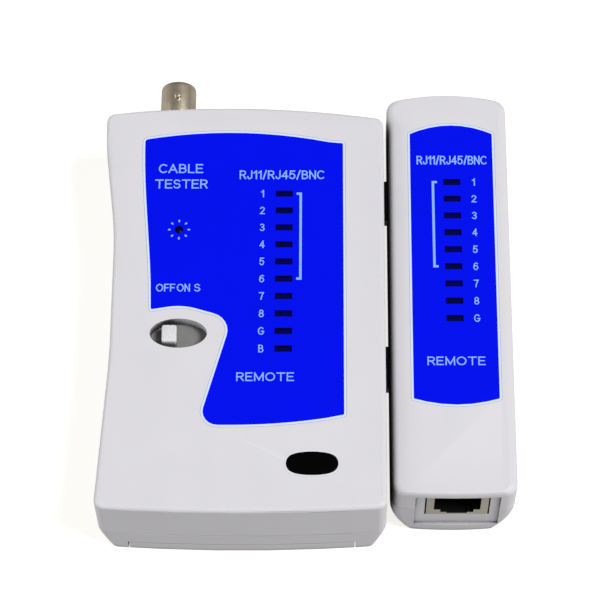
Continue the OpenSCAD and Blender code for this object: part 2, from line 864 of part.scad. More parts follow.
module remote_front_shell() {
    head_z = hook_head.y / 2 + rail_gap;
    neck_z = hook_neck.y / 2 + rail_gap;
    rail_stop = hook_y[0] - hook_len / 2 - remote_shift - 0.3;
    head_x = -remote_side + hook_neck.x - unit_gap;
    color("whitesmoke") on_remote() difference() {
        union() {
            difference() {
                remote_front_solid(0);
                remote_front_solid(wall);
            }
            intersection() {
                remote_front_solid(0);
                block([-remote_side, rail_stop - 2, remote_split + 0.05],
                    [-remote_side + rail_block, remote_l / 2, hook_z + head_z + 1.2]);
            }
            screw_posts(remote_screw_at, remote_board_z + board_t, remote_t - wall);
        }
        screw_pilots(remote_screw_at, remote_board_z + board_t, 8);
        block([-remote_side - 1, rail_stop, hook_z - neck_z],
            [-remote_side + 3, remote_l / 2, hook_z + neck_z]);
        block([head_x - rail_gap, rail_stop, hook_z - head_z],
            [head_x + hook_head.x + rail_gap, remote_l / 2, hook_z + head_z]);
        plate(remote_label_outline, remote_t - pocket, remote_t + 1);
        led_windows(remote_axis, remote_led_top_y, remote_led_count, remote_t - wall, remote_t);
        remote_ports();
    }
}

// Openings in both ends of the remote unit
module remote_ports() {
    low_end(remote_low(0)) jack_port(rj45, remote_axis, remote_board_z + board_t, remote_port);
    top_end(remote_top(0)) jack_port(rj11, remote_axis, remote_board_z + board_t, remote_rj11_port);
}

module remote_back_shell() {
    color("gainsboro") on_remote() difference() {
        union() {
            difference() {
                remote_back_solid(0);
                remote_back_solid(wall);
            }
            for (p = remote_screw_at)
                translate([p.x, p.y, 0.5]) cylinder(h = remote_board_z - 0.5, r = boss_r);
        }
        screw_bores(remote_screw_at, remote_board_z);
        remote_ports();
    }
}

module remote_label() {
    color("mediumblue") on_remote() difference() {
        plate(inset(remote_label_outline, label_gap), remote_t - pocket, remote_t);
        led_windows(remote_axis, remote_led_top_y, remote_led_count, remote_t - wall, remote_t);
    }
}

module remote_pcb() {
    z = remote_board_z;
    end = remote_l / 2 - 4;
    color("darkgreen") on_remote() difference() {
        block([remote_axis - remote_board_half, -end, z],
            [remote_axis + remote_board_half, end, z + board_t]);
        board_holes(remote_screw_at, z);
    }
}

module remote_leds() {
    board_top = remote_board_z + board_t;
    color("darkred") on_remote()
        led_row(remote_axis, remote_led_top_y, remote_led_count, board_top, remote_t - led_recess);
}

module remote_diodes() {
    color("black") on_remote() for (i = [0 : diode_count - 1])
        translate([diode_at.x, diode_at.y - i * led_pitch, remote_board_z + board_t])
            rotate([0, 0, 90]) scale(0.5) axial();
}

module remote_resistors() {
    color("tan") on_remote() for (i = [0 : remote_resistor_count - 1])
        translate([remote_resistor_at.x, remote_resistor_at.y - i * led_pitch, remote_board_z + board_t])
            axial();
}

module remote_jack_low() {
    on_remote() low_end(remote_low(0) + port_sink - 0.1)
        translate([remote_axis, 0, remote_board_z + board_t]) children();
}

module remote_jack_top() {
    on_remote() top_end(remote_top(0) - port_sink + 0.1)
        translate([remote_axis, 0, remote_board_z + board_t]) children();
}

module remote_rj45_housing() {
    color("burlywood") remote_jack_low() jack_housing(rj45);
}

module remote_rj45_contacts() {
    color("gold") remote_jack_low() jack_contacts(rj45);
}

module remote_rj11_housing() {
    color("burlywood") remote_jack_top() jack_housing(rj11);
}

module remote_rj11_contacts() {
    color("gold") remote_jack_top() jack_contacts(rj11);
}

module remote_case_screws() {
    color("silver") on_remote() screws(remote_screw_at, head_sink - head_t - 0.1, case_screw_l);
}

main_front_shell();
main_back_shell();
battery_cover();
main_label();
blank_badge();
main_pcb();
main_leds();
power_led();
power_switch_body();
power_switch_knob();
switch_shutter();
main_rj45_housing();
main_rj45_contacts();
main_rj11_housing();
main_rj11_contacts();
bnc_shell();
bnc_insulator();
bnc_center_contact();
bnc_washer();
bnc_nut();
battery_9v();
battery_terminals();
battery_snap();
battery_leads();
main_counter_chip();
main_timer_chip();
main_resistors();
main_capacitors();
main_case_screws();
main_pcb_screws();
remote_front_shell();
remote_back_shell();
remote_label();
remote_pcb();
remote_leds();
remote_diodes();
remote_resistors();
remote_rj45_housing();
remote_rj45_contacts();
remote_rj11_housing();
remote_rj11_contacts();
remote_case_screws();
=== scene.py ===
"""Looks of the network cable tester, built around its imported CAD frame. Metres throughout."""
import json
import math

import bmesh
import bpy
from mathutils import Matrix, Vector


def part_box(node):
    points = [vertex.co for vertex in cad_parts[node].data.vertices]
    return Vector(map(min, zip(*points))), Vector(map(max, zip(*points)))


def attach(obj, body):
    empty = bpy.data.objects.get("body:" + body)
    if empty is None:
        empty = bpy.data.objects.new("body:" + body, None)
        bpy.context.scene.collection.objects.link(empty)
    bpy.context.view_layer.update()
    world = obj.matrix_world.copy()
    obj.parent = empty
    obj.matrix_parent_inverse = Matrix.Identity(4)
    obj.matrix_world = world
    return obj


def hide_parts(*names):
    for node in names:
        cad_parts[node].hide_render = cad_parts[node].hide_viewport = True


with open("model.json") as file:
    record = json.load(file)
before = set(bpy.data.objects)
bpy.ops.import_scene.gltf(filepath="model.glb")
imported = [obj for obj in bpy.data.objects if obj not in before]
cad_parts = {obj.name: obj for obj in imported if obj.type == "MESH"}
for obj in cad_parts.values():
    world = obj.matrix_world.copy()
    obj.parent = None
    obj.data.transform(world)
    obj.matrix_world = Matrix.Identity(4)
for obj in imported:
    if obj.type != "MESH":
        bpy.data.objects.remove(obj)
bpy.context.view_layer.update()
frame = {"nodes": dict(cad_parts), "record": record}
NODES = frame["nodes"]
MM = 0.001

# Print on the labels: how far each layer stands above the one below it
LABEL_BORDER = 0.6 * MM
INK = 0.03 * MM
LETTER_INK = 0.015 * MM

# Lettering, in shares of the capital height: width of a stroke, and gap between letters' centre lines
STROKE = 0.15
LETTER_GAP = 0.24


# ---- Materials ----

def add_node(mat, kind, **settings):
    """A new shader node; settings are properties of the node, or values of its inputs by name."""
    node = mat.node_tree.nodes.new(kind)
    for key, value in settings.items():
        if hasattr(node, key):
            setattr(node, key, value)
        else:
            node.inputs[key.replace("_", " ")].default_value = value
    return node


def link(mat, source, target):
    mat.node_tree.links.new(source, target)


def principled(name, color, roughness, **sockets):
    """A material whose Principled shader has these values set on its own sockets."""
    mat = bpy.data.materials.new(name)
    mat.use_nodes = True
    shader = mat.node_tree.nodes["Principled BSDF"]
    shader.inputs["Base Color"].default_value = (*color, 1)
    shader.inputs["Roughness"].default_value = roughness
    for key, value in sockets.items():
        shader.inputs[key.replace("_", " ")].default_value = value
    return mat


def shader_input(mat, name):
    return mat.node_tree.nodes["Principled BSDF"].inputs[name]


def noise(mat, size, detail=2.0, stretch=(1, 1, 1)):
    """Noise with features of about this size, in metres, in the object's own coordinates."""
    place = add_node(mat, "ShaderNodeTexCoord")
    scale = add_node(mat, "ShaderNodeMapping", Scale=stretch)
    made = add_node(mat, "ShaderNodeTexNoise", Scale=1 / size, Detail=detail)
    link(mat, place.outputs["Object"], scale.inputs["Vector"])
    link(mat, scale.outputs["Vector"], made.inputs["Vector"])
    return made.outputs["Fac"]


def remap(mat, value, low, high, start=0.3, end=0.7):
    made = add_node(mat, "ShaderNodeMapRange")
    for key, number in (("From Min", start), ("From Max", end), ("To Min", low), ("To Max", high)):
        made.inputs[key].default_value = number
    link(mat, value, made.inputs["Value"])
    return made.outputs["Result"]


def blend_colors(mat, factor, first, second):
    """Colour that goes from first to second with factor; each is a colour or a socket."""
    made = add_node(mat, "ShaderNodeMix", data_type="RGBA")
    link(mat, factor, made.inputs["Factor"])
    for slot, value in (("A", first), ("B", second)):
        target = next(s for s in made.inputs if s.name == slot and s.type == "RGBA")
        if isinstance(value, bpy.types.NodeSocket):
            link(mat, value, target)
        else:
            target.default_value = (*value, 1)
    return next(s for s in made.outputs if s.type == "RGBA")


def bump(mat, height, depth, normal=None):
    made = add_node(mat, "ShaderNodeBump", Distance=depth)
    link(mat, height, made.inputs["Height"])
    if normal is not None:
        link(mat, normal, made.inputs["Normal"])
    link(mat, made.outputs["Normal"], shader_input(mat, "Normal"))
    return made.outputs["Normal"]


def scaled(color, factor):
    return tuple(c * factor for c in color)


def surface(name, color, roughness, grain=0.25 * MM, depth=0.004 * MM, mottle=0.03, patch=9 * MM, **sockets):
    """Fine-grained surface: the colour drifts in patches, and the grain is in the bump and roughness."""
    mat = principled(name, color, roughness, **sockets)
    patches = noise(mat, patch, 3)
    fine = noise(mat, grain, 2)
    tint = blend_colors(mat, remap(mat, patches, 0, 1), scaled(color, 1 - mottle), scaled(color, 1 + mottle))
    link(mat, tint, shader_input(mat, "Base Color"))
    link(mat, remap(mat, fine, roughness - 0.05, roughness + 0.05), shader_input(mat, "Roughness"))
    bump(mat, fine, depth)
    return mat


def case_material(name, color, gap, closed, open_to):
    """Satin ABS: sparked grain, faint flow marks along the case, and edges rubbed a little lighter.
    Painted shade: it darkens where other surfaces are nearer than the gap, as in the slit between the units:
    from black where the closed share of the sky is left over them, to none at the open share."""
    mat = surface(name, color, 0.5, 0.32 * MM, 0.006 * MM, 0.012, 14 * MM, Specular_IOR_Level=0.3)
    flow = noise(mat, 5 * MM, 3, (1, 0.15, 1))
    base = shader_input(mat, "Base Color").links[0].from_socket
    streaked = blend_colors(mat, remap(mat, flow, 0, 0.25), base, scaled(color, 1.03))
    edges = add_node(mat, "ShaderNodeNewGeometry")
    worn = blend_colors(mat, remap(mat, edges.outputs["Pointiness"], 0, 0.35, 0.52, 0.6),
                        streaked, scaled(color, 1.15))
    # Painted shade: occlusion darkens the colour to near black in gaps and crevices
    shade_ao = add_node(mat, "ShaderNodeAmbientOcclusion", samples=6, Distance=gap)
    painted_shade = blend_colors(mat, remap(mat, shade_ao.outputs["AO"], 0, 1, closed, open_to),
                          scaled(color, 0.01), worn)
    link(mat, painted_shade, shader_input(mat, "Base Color"))
    return mat


def turned_metal(name, color, roughness, pitch, axis="Y"):
    """Plated metal with fine turning lines across the axis, and a tarnish that drifts over it."""
    mat = principled(name, color, roughness, Metallic=1.0)
    place = add_node(mat, "ShaderNodeTexCoord")
    lines = add_node(mat, "ShaderNodeTexWave", bands_direction=axis, Scale=0.16 / pitch)
    lines.inputs["Distortion"].default_value = 0.6
    link(mat, place.outputs["Object"], lines.inputs["Vector"])
    tarnish = remap(mat, noise(mat, 2.4 * MM, 4), 0, 1)
    link(mat, blend_colors(mat, tarnish, scaled(color, 0.82), color), shader_input(mat, "Base Color"))
    link(mat, remap(mat, noise(mat, 0.4 * MM, 3), roughness - 0.07, roughness + 0.09),
         shader_input(mat, "Roughness"))
    bump(mat, lines.outputs["Fac"], 0.003 * MM)
    return mat


def board_material():
    """Solder mask over copper: tracks show as a lighter green, with tinned pads on a grid."""
    mask, track, tin = (0.006, 0.085, 0.03), (0.012, 0.15, 0.05), (0.55, 0.55, 0.52)
    mat = principled("circuit_board", mask, 0.3, Specular_IOR_Level=0.5)
    place = add_node(mat, "ShaderNodeTexCoord")
    tracks = add_node(mat, "ShaderNodeTexBrick", Scale=1 / (5.08 * MM), Mortar_Size=0.06)
    tracks.inputs["Color1"].default_value = (*mask, 1)
    tracks.inputs["Color2"].default_value = (*scaled(mask, 1.2), 1)
    tracks.inputs["Mortar"].default_value = (*track, 1)
    pads = add_node(mat, "ShaderNodeTexVoronoi", Scale=1 / (2.54 * MM))
    pads.inputs["Randomness"].default_value = 0.0
    for node in (tracks, pads):
        link(mat, place.outputs["Object"], node.inputs["Vector"])
    near = remap(mat, pads.outputs["Distance"], 1, 0, 0.16, 0.2)
    link(mat, blend_colors(mat, near, tracks.outputs["Color"], tin), shader_input(mat, "Base Color"))
    bump(mat, tracks.outputs["Fac"], 0.02 * MM)
    return mat


def banded(name, colors, pitch, axis, roughness, **sockets):
    """Colour bands across an axis, as on a lacquered resistor or a printed jacket."""
    mat = principled(name, colors[0], roughness, **sockets)
    place = add_node(mat, "ShaderNodeTexCoord")
    bands = add_node(mat, "ShaderNodeTexWave", bands_direction=axis, Scale=0.16 / pitch)
    link(mat, place.outputs["Object"], bands.inputs["Vector"])
    tint = blend_colors(mat, remap(mat, bands.outputs["Fac"], 0, 1, 0.8, 0.85), colors[0], colors[1])
    link(mat, tint, shader_input(mat, "Base Color"))
    fine = noise(mat, 0.5 * MM, 3)
    link(mat, remap(mat, fine, roughness - 0.05, roughness + 0.05), shader_input(mat, "Roughness"))
    bump(mat, fine, 0.006 * MM)
    return mat


CASE_COLOR = (0.60, 0.59, 0.615)
MATERIALS = {
    # Both case materials carry painted shade in gaps and crevices
    "case_front": case_material("case_front", CASE_COLOR, 3.5 * MM, 0.45, 0.85),
    "case_back": case_material("case_back", scaled(CASE_COLOR, 0.97), 3 * MM, 0.2, 0.8),
    "label_border": surface("label_border", (0.58, 0.67, 0.87), 0.45, mottle=0.01, Specular_IOR_Level=0.15),
    "label_print": surface("label_print", (0.0, 0.004, 0.72), 0.45, 0.18 * MM, 0.002 * MM, 0.03, 6 * MM,
                           Specular_IOR_Level=0.04),
    "lettering": surface("lettering", (0.22, 0.40, 0.90), 0.5, 0.2 * MM, 0.002 * MM, 0.06, 0.6 * MM,
                         Specular_IOR_Level=0.08),
    "badge_black": surface("badge_black", (0.001, 0.001, 0.001), 0.3, 0.6 * MM, 0.001 * MM, 0.1,
                           Specular_IOR_Level=0.02),
    "badge_edge": surface("badge_edge", (0.68, 0.67, 0.70), 0.4, 0.3 * MM, 0.002 * MM, 0.02),
    "rail_white": surface("rail_white", CASE_COLOR, 0.5, 0.32 * MM, 0.006 * MM, 0.02),
    # Painted shade: dark blue for the walls of the indicator windows, where shade falls
    "window_painted_shade": surface("window_painted_shade", (0.0005, 0.001, 0.12), 0.5, 0.3 * MM, 0.002 * MM, 0.1,
                           Specular_IOR_Level=0.05),
    "circuit_board": board_material(),
    "led_lens": surface("led_lens", (0.0004, 0.0006, 0.06), 0.35, 0.5 * MM, 0.004 * MM, 0.3, 1.2 * MM,
                        Specular_IOR_Level=0.06),
    "power_led_lens": surface("power_led_lens", (0.0005, 0.001, 0.03), 0.3, 0.5 * MM, 0.002 * MM, 0.2,
                              1 * MM, Specular_IOR_Level=0.1),
    "switch_metal": surface("switch_metal", (0.5, 0.5, 0.48), 0.35, 0.3 * MM, 0.004 * MM, 0.1, Metallic=1.0),
    "knob_white": surface("knob_white", (0.64, 0.63, 0.645), 0.42, 0.3 * MM, 0.003 * MM, 0.02, 2 * MM,
                          Specular_IOR_Level=0.35),
    "shutter_grey": surface("shutter_grey", (0.22, 0.22, 0.215), 0.42, 0.35 * MM, 0.004 * MM, 0.08, 3 * MM,
                            Specular_IOR_Level=0.3),
    "jack_plastic": surface("jack_plastic", (0.40, 0.365, 0.29), 0.45, 0.3 * MM, 0.004 * MM, 0.04, 3 * MM),
    # Painted shade: near black, for the inside walls of the jacks where shade falls
    "jack_painted_shade": surface("jack_painted_shade", (0.004, 0.004, 0.004), 0.6, 0.3 * MM, 0.004 * MM, 0.1,
                           Specular_IOR_Level=0.1),
    "gold_contact": surface("gold_contact", (0.83, 0.58, 0.2), 0.25, 0.3 * MM, 0.003 * MM, 0.08, 1 * MM,
                            Metallic=1.0),
    "nickel": turned_metal("nickel", (0.60, 0.52, 0.40), 0.4, 0.18 * MM),
    "insulator_white": surface("insulator_white", (0.80, 0.79, 0.74), 0.4, 0.3 * MM, 0.003 * MM, 0.02),
    "battery_jacket": banded("battery_jacket", ((0.015, 0.015, 0.017), (0.55, 0.36, 0.1)), 52 * MM, "X", 0.3,
                             Metallic=0.6, Coat_Weight=0.4),
    "black_plastic": surface("black_plastic", (0.012, 0.012, 0.013), 0.4, 0.25 * MM, 0.006 * MM, 0.15),
    "lead_insulation": surface("lead_insulation", (0.42, 0.02, 0.02), 0.4, 0.4 * MM, 0.004 * MM, 0.08),
    "resistor_body": banded("resistor_body", ((0.50, 0.36, 0.2), (0.2, 0.03, 0.01)), 1.3 * MM, "X", 0.35,
                            Coat_Weight=0.4),
    "capacitor_sleeve": surface("capacitor_sleeve", (0.01, 0.02, 0.11), 0.3, 0.4 * MM, 0.004 * MM, 0.1,
                                Coat_Weight=0.3),
    "screw_steel": surface("screw_steel", (0.5, 0.5, 0.49), 0.32, 0.25 * MM, 0.006 * MM, 0.1, 1.5 * MM,
                           Metallic=1.0),
}


def paint(obj, material):
    obj.data.materials.clear()
    obj.data.materials.append(MATERIALS[material])


# ---- Mesh helpers ----

def new_piece(name, mesh, material, body, smooth=True):
    """An object from a mesh, painted with the named material and riding on its body."""
    obj = bpy.data.objects.new(name, mesh)
    bpy.context.scene.collection.objects.link(obj)
    paint(obj, material)
    for face in mesh.polygons:
        face.use_smooth = smooth
    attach(obj, body)
    return obj


def mesh_from(bm, name):
    bmesh.ops.recalc_face_normals(bm, faces=bm.faces)
    mesh = bpy.data.meshes.new(name)
    bm.to_mesh(mesh)
    bm.free()
    return mesh


def soften(obj, width, angle=35, segments=2):
    """Rounds the hard edges of a mesh a little and evens out its shading."""
    weld = obj.modifiers.new("weld", "WELD")
    weld.merge_threshold = 0.002 * MM
    flat = obj.modifiers.new("flat", "DECIMATE")
    flat.decimate_type = "DISSOLVE"
    flat.angle_limit = math.radians(1)
    edge = obj.modifiers.new("edge", "BEVEL")
    edge.width = width
    edge.segments = segments
    edge.limit_method = "ANGLE"
    edge.angle_limit = math.radians(angle)
    edge.use_clamp_overlap = True
    shade = obj.modifiers.new("shade", "WEIGHTED_NORMAL")
    shade.keep_sharp = True
    for face in obj.data.polygons:
        face.use_smooth = True


def lathe(bm, profile, place, segments=72, start=0.0, stop=2 * math.pi):
    """Turns a closed profile of (radius, height) points about the z axis of the matrix place."""
    whole = stop - start > 2 * math.pi - 0.001
    count = segments if whole else segments + 1
    rings = []
    for i in range(count):
        a = start + (stop - start) * i / segments
        points = [Vector((r * math.cos(a), r * math.sin(a), z)) for r, z in profile]
        rings.append([bm.verts.new(place @ point) for point in points])
    pairs = [(i, (i + 1) % count) for i in range(segments)]
    for i, j in pairs:
        for k in range(len(profile)):
            m = (k + 1) % len(profile)
            bm.faces.new((rings[i][k], rings[j][k], rings[j][m], rings[i][m]))
    if not whole:
        bm.faces.new(rings[0])
        bm.faces.new(reversed(rings[-1]))


def rounded_profile(points, steps=3):
    """Closed profile whose corners are cut by arcs: each point is (radius, height, corner radius)."""
    out = []
    for i, (x, y, r) in enumerate(points):
        p = Vector((x, y))
        if r == 0:
            out.append(p)
            continue
        a = (Vector(points[i - 1][:2]) - p).normalized()
        b = (Vector(points[(i + 1) % len(points)][:2]) - p).normalized()
        half = a.angle(b) / 2
        centre = p + (a + b).normalized() * r / math.sin(half)
        first, last = p + a * r / math.tan(half) - centre, p + b * r / math.tan(half) - centre
        sweep = first.angle_signed(last)
        out += [centre + Matrix.Rotation(-sweep * s / steps, 2) @ first for s in range(steps + 1)]
    return [(v.x, v.y) for v in out]


def rounded_rectangle(width, height, radius, steps=6):
    out = []
    corners = ((1, 1, 0), (-1, 1, 90), (-1, -1, 180), (1, -1, 270))
    for sx, sy, turn in corners:
        cx, cy = sx * (width / 2 - radius), sy * (height / 2 - radius)
        for s in range(steps + 1):
            a = math.radians(turn + 90 * s / steps)
            out.append((cx + radius * math.cos(a), cy + radius * math.sin(a)))
    return out


def skin(bm, rings):
    """Closed solid through a list of rings with the same number of points."""
    made = [[bm.verts.new(p) for p in ring] for ring in rings]
    count = len(made[0])
    for low, high in zip(made, made[1:]):
        for i in range(count):
            j = (i + 1) % count
            bm.faces.new((low[i], low[j], high[j], high[i]))
    bm.faces.new(reversed(made[0]))
    bm.faces.new(made[-1])


def middle(node):
    low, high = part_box(node)
    return (low + high) / 2


# ---- Labels and print ----

def top_loops(node):
    """Loops around the top face of a CAD plate, as lists of (x, y); the outline comes first."""
    mesh = NODES[node].data
    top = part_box(node)[1].z
    step = {}
    for face in mesh.polygons:
        points = [mesh.vertices[i].co for i in face.vertices]
        if min(p.z for p in points) < top - 0.01 * MM:
            continue
        keys = [(round(p.x / MM, 3), round(p.y / MM, 3)) for p in points]
        for a, b in zip(keys, keys[1:] + keys[:1]):
            if step.get((b, a)):
                del step[(b, a)]
            else:
                step[(a, b)] = True
    follow = {a: b for a, b in step}
    loops = []
    while follow:
        first, at = follow.popitem()
        loop = [first]
        while at != first:
            loop.append(at)
            at = follow.pop(at)
        loops.append([(x * MM, y * MM) for x, y in loop])
    return sorted(loops, key=len, reverse=True)


def drawn_in(loop, distance):
    """The outline moved inwards, for points in counter-clockwise order."""
    out = []
    for i, p in enumerate(loop):
        before, after = Vector(loop[i - 1]), Vector(loop[(i + 1) % len(loop)])
        along = (after - before).normalized()
        out.append(Vector(p) + distance * Vector((-along.y, along.x)))
    return out


def flat_mesh(name, loops, z0, z1):
    """Plate between two heights, filled between its loops."""
    curve = bpy.data.curves.new(name, "CURVE")
    curve.dimensions = "2D"
    curve.fill_mode = "BOTH"
    curve.extrude = (z1 - z0) / 2
    for loop in loops:
        spline = curve.splines.new("POLY")
        spline.points.add(len(loop) - 1)
        for point, (x, y) in zip(spline.points, loop):
            point.co = (x, y, 0, 1)
        spline.use_cyclic_u = True
    obj = bpy.data.objects.new(name, curve)
    bpy.context.scene.collection.objects.link(obj)
    mesh = evaluated_mesh(obj)
    bpy.data.objects.remove(obj)
    mesh.transform(Matrix.Translation((0, 0, (z0 + z1) / 2)))
    return mesh


def evaluated_mesh(obj):
    bpy.context.view_layer.update()
    graph = bpy.context.evaluated_depsgraph_get()
    return bpy.data.meshes.new_from_object(obj.evaluated_get(graph))


def arc(cx, cy, rx, ry, start, stop, count=12):
    """Points along part of an ellipse, between two angles in degrees."""
    turns = [math.radians(start + (stop - start) * i / count) for i in range(count + 1)]
    return [(cx + rx * math.cos(a), cy + ry * math.sin(a)) for a in turns]


# Centre lines of the strokes of each character, in shares of the capital height
GLYPHS = {
    "1": [[(0.1, 0.76), (0.34, 1), (0.34, 0)]],
    "2": [[*arc(0.3, 0.73, 0.26, 0.27, 165, -35), (0.04, 0), (0.58, 0)]],
    "3": [arc(0.28, 0.755, 0.23, 0.245, 150, -90), arc(0.28, 0.26, 0.27, 0.26, 90, -150)],
    "4": [[(0.44, 0), (0.44, 1), (0.03, 0.3), (0.58, 0.3)]],
    "5": [[(0.53, 1), (0.13, 1), (0.07, 0.5)], arc(0.29, 0.33, 0.27, 0.33, 140, -150)],
    "6": [arc(0.31, 0.31, 0.26, 0.31, 0, 360, 20), arc(0.37, 0.42, 0.32, 0.58, 180, 60)],
    "7": [[(0.04, 1), (0.56, 1), (0.36, 0.55), (0.24, 0)]],
    "8": [arc(0.3, 0.755, 0.22, 0.245, 0, 360, 20), arc(0.3, 0.26, 0.27, 0.26, 0, 360, 20)],
    "A": [[(0.02, 0), (0.36, 1), (0.7, 0)], [(0.16, 0.34), (0.56, 0.34)]],
    "B": [[(0.06, 0), (0.06, 1), (0.32, 1), *arc(0.34, 0.765, 0.2, 0.235, 80, -90), (0.06, 0.53)],
          [(0.1, 0), *arc(0.36, 0.265, 0.24, 0.265, -90, 80)]],
    "C": [arc(0.4, 0.5, 0.36, 0.5, 50, 310, 18)],
    "E": [[(0.56, 1), (0.06, 1), (0.06, 0), (0.58, 0)], [(0.1, 0.52), (0.5, 0.52)]],
    "F": [[(0.54, 1), (0.06, 1), (0.06, 0)], [(0.1, 0.5), (0.46, 0.5)]],
    "G": [[*arc(0.4, 0.5, 0.36, 0.5, 50, 320, 18), (0.74, 0.44), (0.46, 0.44)]],
    "J": [[(0.42, 1), *arc(0.22, 0.25, 0.2, 0.25, 0, -180)]],
    "L": [[(0.06, 1), (0.06, 0), (0.5, 0)]],
    "M": [[(0.06, 0), (0.06, 1), (0.42, 0.08), (0.78, 1), (0.78, 0)]],
    "N": [[(0.06, 0), (0.06, 1), (0.62, 0), (0.62, 1)]],
    "O": [arc(0.4, 0.5, 0.37, 0.5, 0, 360, 24)],
    "R": [[(0.06, 0), (0.06, 1), (0.35, 1), *arc(0.36, 0.745, 0.23, 0.255, 80, -90), (0.06, 0.49)],
          [(0.36, 0.46), (0.6, 0)]],
    "S": [arc(0.31, 0.755, 0.24, 0.245, 25, 255), arc(0.31, 0.265, 0.26, 0.265, 75, -155)],
    "T": [[(0, 1), (0.64, 1)], [(0.32, 0.96), (0.32, 0)]],
    "/": [[(0, -0.05), (0.3, 1.05)]],
}

# Section of a stroke: places across it and up it, over half its width and its thickness
RIDGE = ((-1, -0.4), (-0.82, 0.7), (-0.4, 1), (0.4, 1), (0.82, 0.7), (1, -0.4))


def sharp_runs(points):
    """The line cut into runs where it turns sharply."""
    runs, run = [], [points[0]]
    for before, at, after in zip(points, points[1:], points[2:]):
        run.append(at)
        if (at - before).angle(after - at) > 0.75:
            runs.append(run)
            run = [at]
    return [*runs, [*run, points[-1]]]


def add_stroke(bm, run, half, z, thick):
    """Low ridge of ink along a run. Open ends reach on by half its width."""
    line = list(run)
    closed = (run[0] - run[-1]).length < half / 10
    if not closed:
        line = [run[0] + (run[0] - run[1]).normalized() * half, *run[1:-1],
                run[-1] + (run[-1] - run[-2]).normalized() * half]
    rings = []
    for i, p in enumerate(line):
        before = line[i - 1] if i else (line[-2] if closed else p)
        after = line[i + 1] if i + 1 < len(line) else (line[1] if closed else p)
        ahead = (after - before).normalized()
        across = Vector((-ahead.y, ahead.x)) * half
        rings.append([(*(p + across * s), z + thick * h) for s, h in RIDGE])
    skin(bm, rings)


def add_letters(bm, text, x, y, z, cap, width=None):
    """A line of text centred at x, y. Crossing strokes differ a little in thickness, as layers of ink."""
    half = cap * STROKE / 2
    strokes, pen = [], 0.0
    for mark in text:
        places = [p[0] for stroke in GLYPHS[mark] for p in stroke]
        shift = pen - min(places)
        strokes += [[(px + shift, py) for px, py in stroke] for stroke in GLYPHS[mark]]
        pen = max(places) + shift + LETTER_GAP
    total = pen - LETTER_GAP
    rise = cap - 2 * half
    spread = (width - 2 * half) / total if width else rise
    layer = 0
    for stroke in strokes:
        points = [Vector((x + (px - total / 2) * spread, y + (py - 0.5) * rise)) for px, py in stroke]
        for run in sharp_runs(points):
            add_stroke(bm, run, half, z, LETTER_INK + layer % 7 * 0.0015 * MM)
            layer += 1


def add_drop(bm, cx, cy, angle, z0, z1):
    """Printed drop that points at the indicator, part of the rays around it."""
    near, far, half = 2.15 * MM, 2.95 * MM, 0.33 * MM
    rings = []
    for z in (z0, z1):
        ring = []
        for i in range(14):
            a = 2 * math.pi * i / 14
            r = (near + far) / 2 + (far - near) / 2 * math.cos(a)
            w = half * math.sin(a) * (0.75 + 0.25 * math.cos(a))
            ring.append((cx + r * math.cos(angle) - w * math.sin(angle),
                         cy + r * math.sin(angle) + w * math.cos(angle), z))
        rings.append(ring)
    skin(bm, rings)


def column(node, count):
    """x of a row of indicators, y of its first, and the step to the next."""
    low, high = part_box(node)
    lens = 1.6 * MM
    return (low.x + high.x) / 2, high.y - lens / 2, (high.y - low.y - lens) / (count - 1)


def bracket(bm, x, y0, y1, reach, z):
    """Printed bracket that joins indicators 1 to 6, open to the side that it reaches to."""
    half = 0.33 * MM
    side = math.copysign(half, reach)
    tip = x + reach
    outline = [(x - side, y0 + half), (tip, y0 + half), (tip, y0 - half), (x + side, y0 - half),
               (x + side, y1 + half), (tip, y1 + half), (tip, y1 - half), (x - side, y1 - half)]
    skin(bm, [[(px, py, level) for px, py in outline] for level in (z - 0.4 * LETTER_INK, z + LETTER_INK)])


def print_layer(label, name, body):
    """Blue ink over a CAD label, which stays as the pale border around it. Returns the ink's top."""
    loops = top_loops(label)
    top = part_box(label)[1].z
    mesh = flat_mesh(name, [drawn_in(loops[0], LABEL_BORDER), *loops[1:]], top, top + INK)
    new_piece(name, mesh, "label_print", body, smooth=False)
    return top + INK


def build_main_print():
    z = print_layer("main_label", "main_label_ink", "main_unit")
    x, y, pitch = column("main_leds", 10)
    led = middle("power_led")
    bm = bmesh.new()
    add_letters(bm, "RJ11/RJ45/BNC", x - 0.7 * MM, y + 5.75 * MM, z, 2.7 * MM, 22.7 * MM)
    for i, mark in enumerate("12345678GB"):
        add_letters(bm, mark, x - 5.8 * MM, y - i * pitch, z, 2.25 * MM)
    bracket(bm, x + 4.4 * MM, y, y - 5 * pitch, -1.1 * MM, z)
    add_letters(bm, "CABLE", led.x + 0.1 * MM, led.y + 18.5 * MM, z, 2.8 * MM, 12 * MM)
    add_letters(bm, "TESTER", led.x + 0.3 * MM, led.y + 13.8 * MM, z, 2.8 * MM, 14.1 * MM)
    for text, across, width in (("OFF", -3.15, 5.1), ("ON", 1.55, 3.5), ("S", 5.2, 1.6)):
        add_letters(bm, text, led.x + across * MM, led.y - 17.2 * MM, z, 2.3 * MM, width * MM)
    add_letters(bm, "REMOTE", x - 4.6 * MM, y - 53.75 * MM, z, 2.5 * MM, 15 * MM)
    for i in range(8):
        add_drop(bm, led.x, led.y, math.radians(45 * i), z, z + LETTER_INK)
    new_piece("main_lettering", mesh_from(bm, "main_lettering"), "lettering", "main_unit",
              smooth=False)


